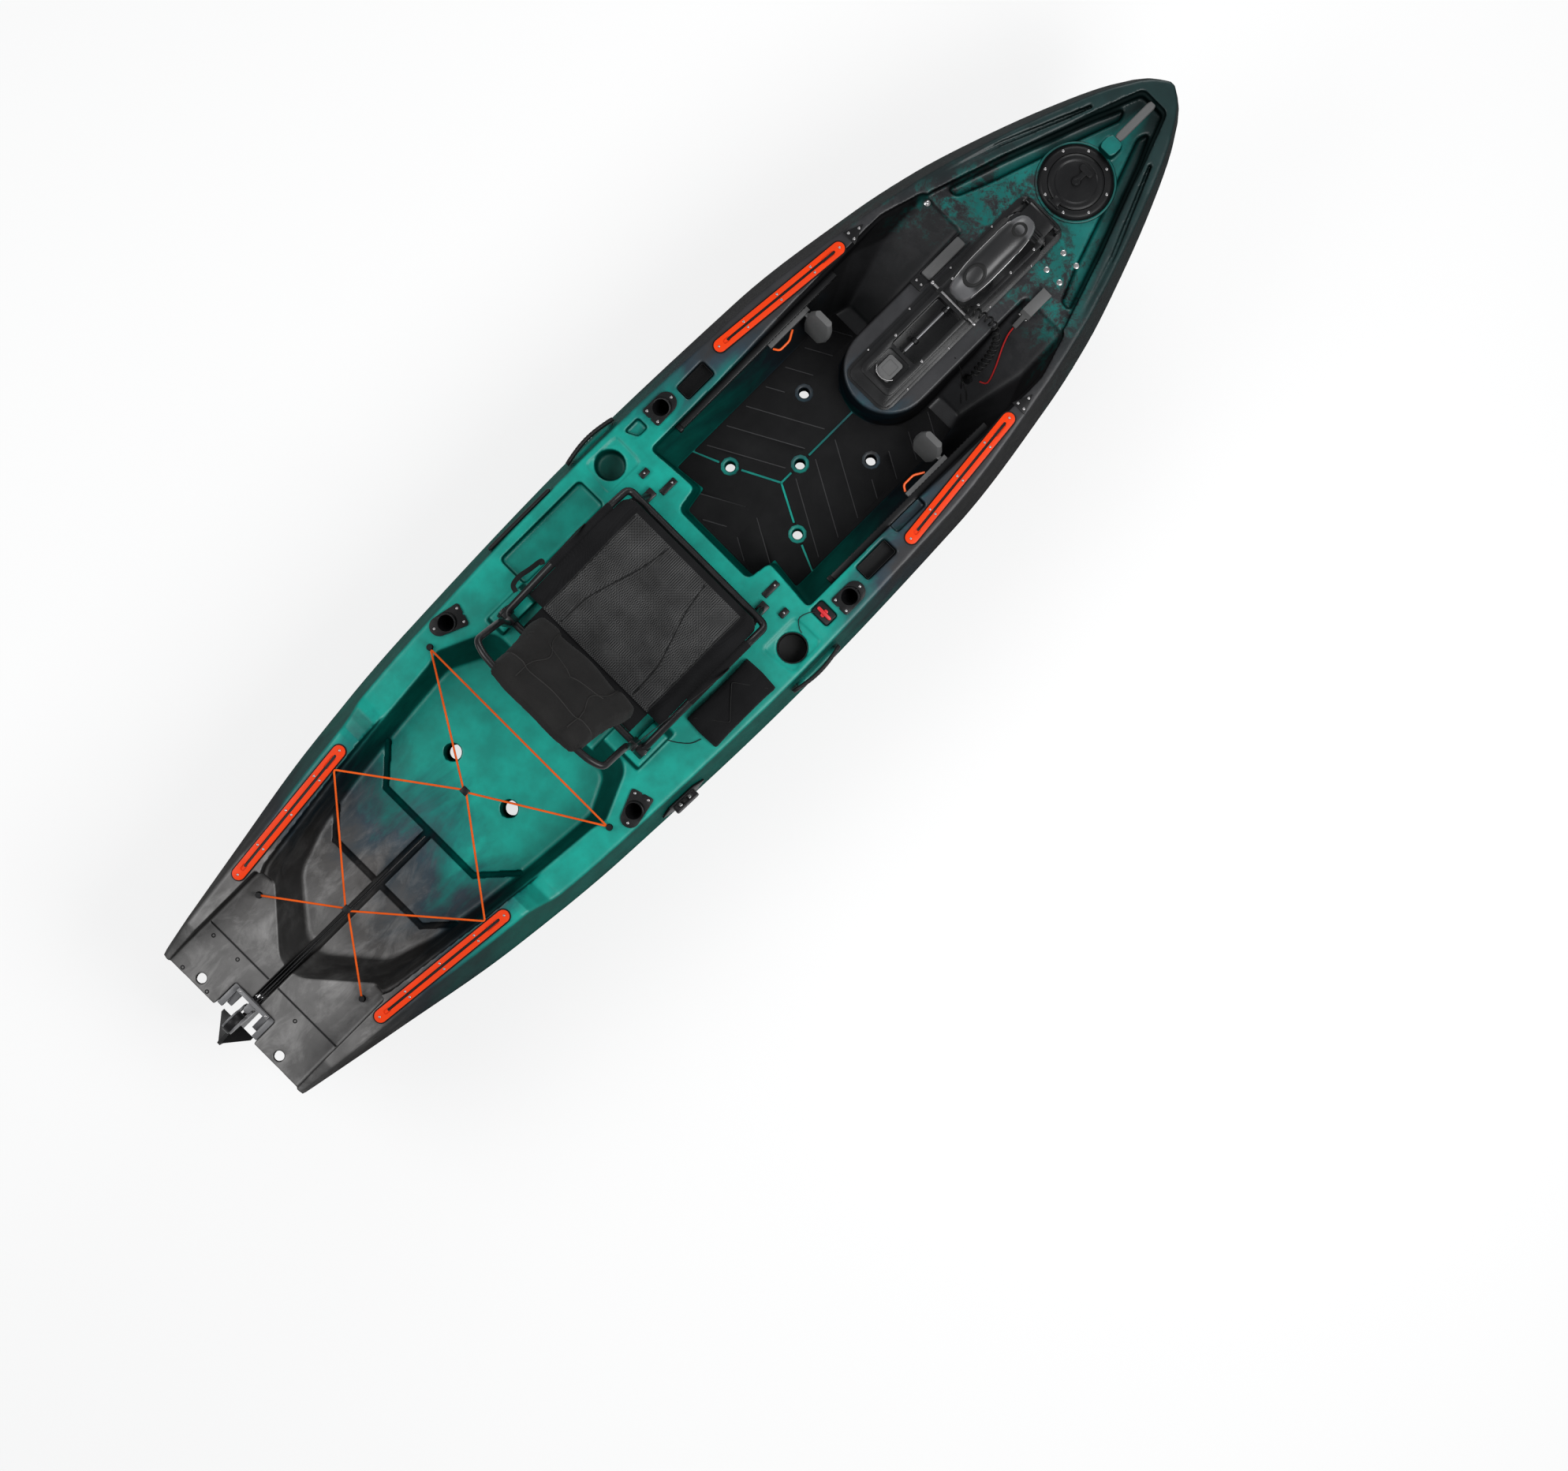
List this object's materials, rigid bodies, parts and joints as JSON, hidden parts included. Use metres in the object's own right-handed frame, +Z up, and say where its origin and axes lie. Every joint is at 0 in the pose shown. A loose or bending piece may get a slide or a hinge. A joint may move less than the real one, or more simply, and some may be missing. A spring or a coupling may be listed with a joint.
{
  "type": "motorized fishing kayak",
  "caption": "Sit-on-top fishing kayak with a framed seat, gear rails, a lifting rudder and a tip-up electric drive that steers and spins in a well between the legs.",
  "frame": {"origin": "bottom of the keel below the middle of the hull's length", "axes": "+X to the bow, +Y to port, +Z up"},
  "size_m": [3.758, 0.919, 1.0468],
  "materials": {
    "hull_plastic": "rotomoulded, blended teal, navy and charcoal",
    "black_plastic": "satin",
    "orange_rail": "orange anodised",
    "orange_wire": "orange coated",
    "orange_cord": "braided",
    "black_foam": "grooved foam",
    "grey_plastic": "satin",
    "black_metal": "powder coated",
    "steel": "brushed",
    "white_metal": "gloss white",
    "black_rubber": "matte",
    "red_wire": "matte",
    "grey_mesh": "woven mesh",
    "black_fabric": "padded fabric",
    "red_plastic": "gloss"
  },
  "bodies": {
    "kayak": {"hull": "hull_plastic", "stern_skeg": "black_plastic", "hatch_ring": "black_plastic", "side_handle_port": "black_plastic", "side_handle_starboard": "black_plastic", "foot_track_port": "black_plastic", "foot_track_starboard": "black_plastic", "motor_tray": "black_plastic", "rear_rod_holder_port": "black_plastic", "rear_rod_holder_starboard": "black_plastic", "front_rod_holder_port": "black_plastic", "front_rod_holder_starboard": "black_plastic", "bungee_eye_rear_port": "black_plastic", "bungee_eye_rear_starboard": "black_plastic", "bungee_eye_front_port": "black_plastic", "bungee_eye_front_starboard": "black_plastic", "bungee_clip_front": "black_plastic", "bungee_clip_rear": "black_plastic", "cable_gland": "black_plastic", "safety_switch": "black_plastic", "anchor_plate_port": "black_plastic", "anchor_plate_starboard": "black_plastic", "side_cleat": "black_plastic", "rear_rail_port": "orange_rail", "rear_rail_starboard": "orange_rail", "front_rail_port": "orange_rail", "front_rail_starboard": "orange_rail", "bungee": "orange_cord", "floor_mat": "black_foam", "bow_handle": "grey_plastic", "power_connector": "grey_plastic", "transducer_pad": "grey_plastic", "rudder_bracket": "grey_plastic", "seat_frame": "black_metal", "motor_cable": "black_rubber", "paddle_keeper": "black_rubber", "power_lead": "red_wire", "seat_pan": "grey_mesh", "tackle_pouch": "black_fabric"},
    "hatch_lid": {"hatch_lid": "black_plastic"},
    "hatch_latch": {"hatch_latch": "black_plastic"},
    "motor_carriage": {"motor_carriage": "black_metal"},
    "release_handle": {"release_handle": "steel"},
    "depth_collar": {"depth_collar": "black_plastic"},
    "motor": {"control_head": "black_plastic", "motor_shaft": "black_metal", "lower_unit": "white_metal"},
    "propeller": {"propeller": "black_plastic"},
    "rudder_head": {"rudder_head": "black_plastic"},
    "rudder_blade": {"rudder_blade": "black_plastic"},
    "seat_back": {"seat_back_frame": "black_metal", "seat_back_pad": "black_fabric", "seat_strap_port": "black_fabric", "seat_strap_starboard": "black_fabric"},
    "foot_pedal_port": {"foot_pedal_port": "grey_plastic"},
    "foot_pedal_starboard": {"foot_pedal_starboard": "grey_plastic"},
    "pedal_lever_port": {"pedal_lever_port": "orange_wire"},
    "pedal_lever_starboard": {"pedal_lever_starboard": "orange_wire"},
    "safety_clip": {"safety_clip": "red_plastic"}
  },
  "joints": [
    {"name": "hatch_open", "type": "hinge", "parent": "kayak", "child": "hatch_lid", "pos_m": [1.372, 0, 0.3853], "axis": [0, -1, 0], "range_deg": [0, 100]},
    {"name": "hatch_latch_turn", "type": "hinge", "parent": "hatch_lid", "child": "hatch_latch", "pos_m": [1.46, 0, 0.3806], "axis": [0, 0, 1], "range_deg": [0, 90]},
    {"name": "motor_stow", "type": "hinge", "parent": "kayak", "child": "motor_carriage", "pos_m": [1.325, 0, 0.392], "axis": [0, 1, 0], "range_deg": [0, 80], "deforming": ["motor_cable"]},
    {"name": "motor_lift", "type": "slide", "parent": "motor_carriage", "child": "depth_collar", "axis": [0, 0, 1], "range_m": [0, 0.2]},
    {"name": "motor_steer", "type": "hinge", "parent": "depth_collar", "child": "motor", "pos_m": [1.0855, 0, 0.3888], "axis": [0, 0, 1], "continuous": true, "deforming": ["motor_cable"]},
    {"name": "propeller_spin", "type": "hinge", "parent": "motor", "child": "propeller", "pos_m": [0.91, 0, -0.0955], "axis": [1, 0, 0], "continuous": true},
    {"name": "release_turn", "type": "hinge", "parent": "motor_carriage", "child": "release_handle", "pos_m": [0.982, 0, 0.4005], "axis": [0, 1, 0], "range_deg": [0, 40]},
    {"name": "rudder_steer", "type": "hinge", "parent": "kayak", "child": "rudder_head", "pos_m": [-1.77, 0, 0.268], "axis": [0, 0, 1], "range_deg": [-35, 35]},
    {"name": "rudder_lift", "type": "hinge", "parent": "rudder_head", "child": "rudder_blade", "pos_m": [-1.816, 0, 0.362], "axis": [0, 1, 0], "range_deg": [0, 110]},
    {"name": "seat_back_fold", "type": "hinge", "parent": "kayak", "child": "seat_back", "pos_m": [-0.489, 0, 0.414], "axis": [0, 1, 0], "range_deg": [-12, 65], "deforming": ["seat_strap_port", "seat_strap_starboard", "seat_back_pad"]},
    {"name": "foot_pedal_slide_port", "type": "slide", "parent": "kayak", "child": "foot_pedal_port", "axis": [1, 0, 0], "range_m": [-0.3, 0.1]},
    {"name": "foot_pedal_slide_starboard", "type": "slide", "parent": "kayak", "child": "foot_pedal_starboard", "axis": [1, 0, 0], "range_m": [-0.28, 0.12]},
    {"name": "pedal_lever_squeeze_port", "type": "hinge", "parent": "foot_pedal_port", "child": "pedal_lever_port", "pos_m": [0.59, 0.2731, 0.3], "axis": [-1, 0, 0], "range_deg": [0, 20], "stiffness_Nm_per_rad": 0.2},
    {"name": "pedal_lever_squeeze_starboard", "type": "hinge", "parent": "foot_pedal_starboard", "child": "pedal_lever_starboard", "pos_m": [0.57, -0.2731, 0.3], "axis": [1, 0, 0], "range_deg": [0, 20], "stiffness_Nm_per_rad": 0.2},
    {"name": "safety_clip_pull", "type": "slide", "parent": "kayak", "child": "safety_clip", "axis": [0, 0, 1], "range_m": [0, 0.03]}
  ],
  "couplings": [
    {"joint": "motor_lift", "follows": "motor_stow", "m_per_rad": 0.143}
  ]
}
